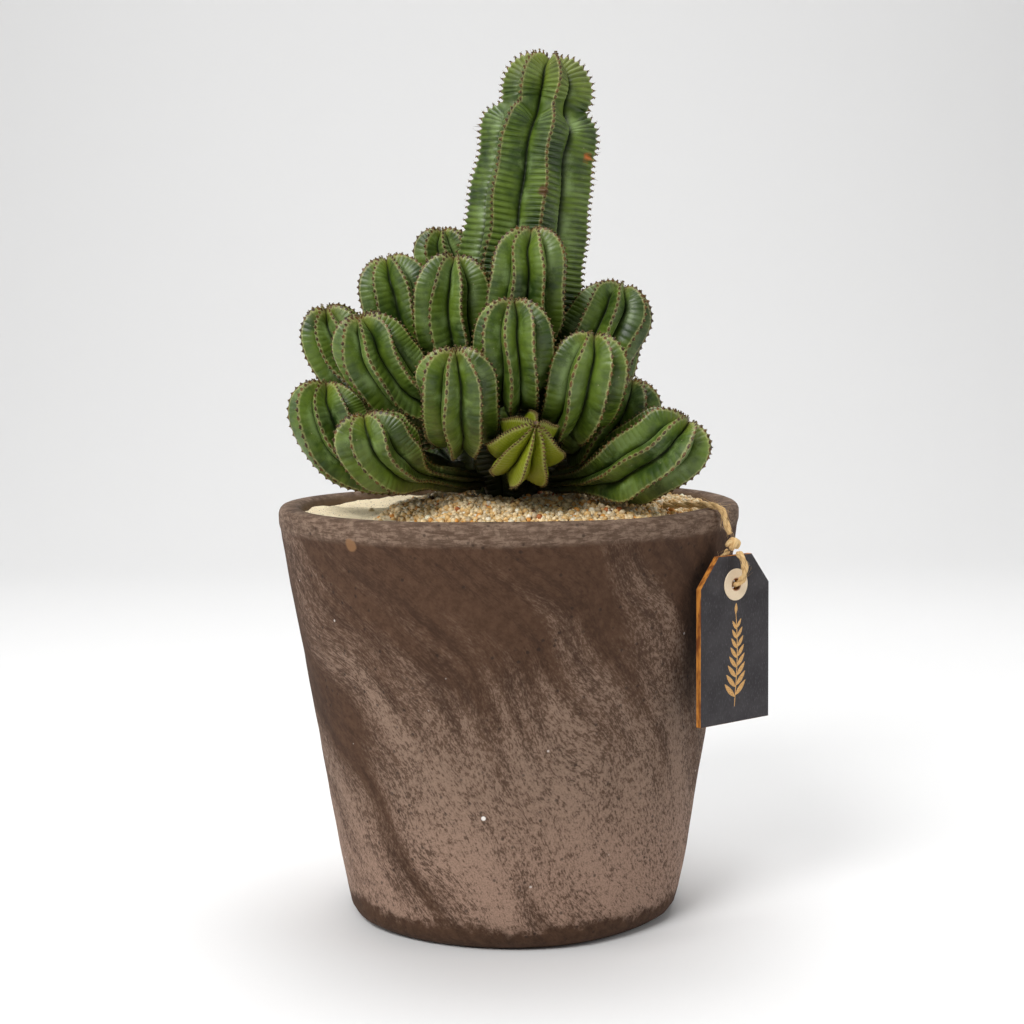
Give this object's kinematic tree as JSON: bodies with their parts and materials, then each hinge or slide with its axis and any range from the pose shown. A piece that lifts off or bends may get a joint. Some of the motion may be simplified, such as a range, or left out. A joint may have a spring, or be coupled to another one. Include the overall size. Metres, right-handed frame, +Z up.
{
  "type": "potted euphorbia",
  "caption": "Branching ribbed euphorbia in a tapered clay pot dressed with sand and gravel, with a board tag hanging from twine over the rim.",
  "frame": {"origin": "pot axis at the surface the foot stands on", "axes": "+Z up along the pot's axis, -Y towards the front, +X to the right with the tag"},
  "size_m": [0.2283, 0.22, 0.4082],
  "materials": {
    "clay": "matt dark brown fired clay with a pale bloom",
    "soil": "dark crumbly potting soil",
    "sand": "fine pale sand",
    "gravel": "small cream and amber quartz gravel",
    "stem_skin": "waxy green ribbed skin with brown spine marks",
    "board": "charcoal painted board with scorched edges",
    "paper": "pale paper eyelet",
    "jute": "twisted jute"
  },
  "bodies": {
    "root": {"gravel_dressing": "gravel", "main_stem": "stem_skin", "pot": "clay", "potting_soil": "soil", "sand_dressing": "sand", "side_stem_01": "stem_skin", "side_stem_02": "stem_skin", "side_stem_03": "stem_skin", "side_stem_04": "stem_skin", "side_stem_05": "stem_skin", "side_stem_06": "stem_skin", "side_stem_07": "stem_skin", "side_stem_08": "stem_skin", "side_stem_09": "stem_skin", "side_stem_10": "stem_skin", "side_stem_11": "stem_skin", "side_stem_12": "stem_skin", "side_stem_13": "stem_skin", "side_stem_14": "stem_skin", "side_stem_15": "stem_skin", "side_stem_16": "stem_skin", "side_stem_17": "stem_skin", "side_stem_18": "stem_skin", "side_stem_19": "stem_skin", "side_stem_20": "stem_skin", "side_stem_21": "stem_skin", "side_stem_22": "stem_skin", "side_stem_23": "stem_skin", "side_stem_24": "stem_skin", "side_stem_25": "stem_skin", "side_stem_26": "stem_skin", "tag_board": "board", "tag_ring": "paper", "tag_twine": "jute", "twine_knot": "jute", "twine_loop": "jute"}
  },
  "joints": []
}
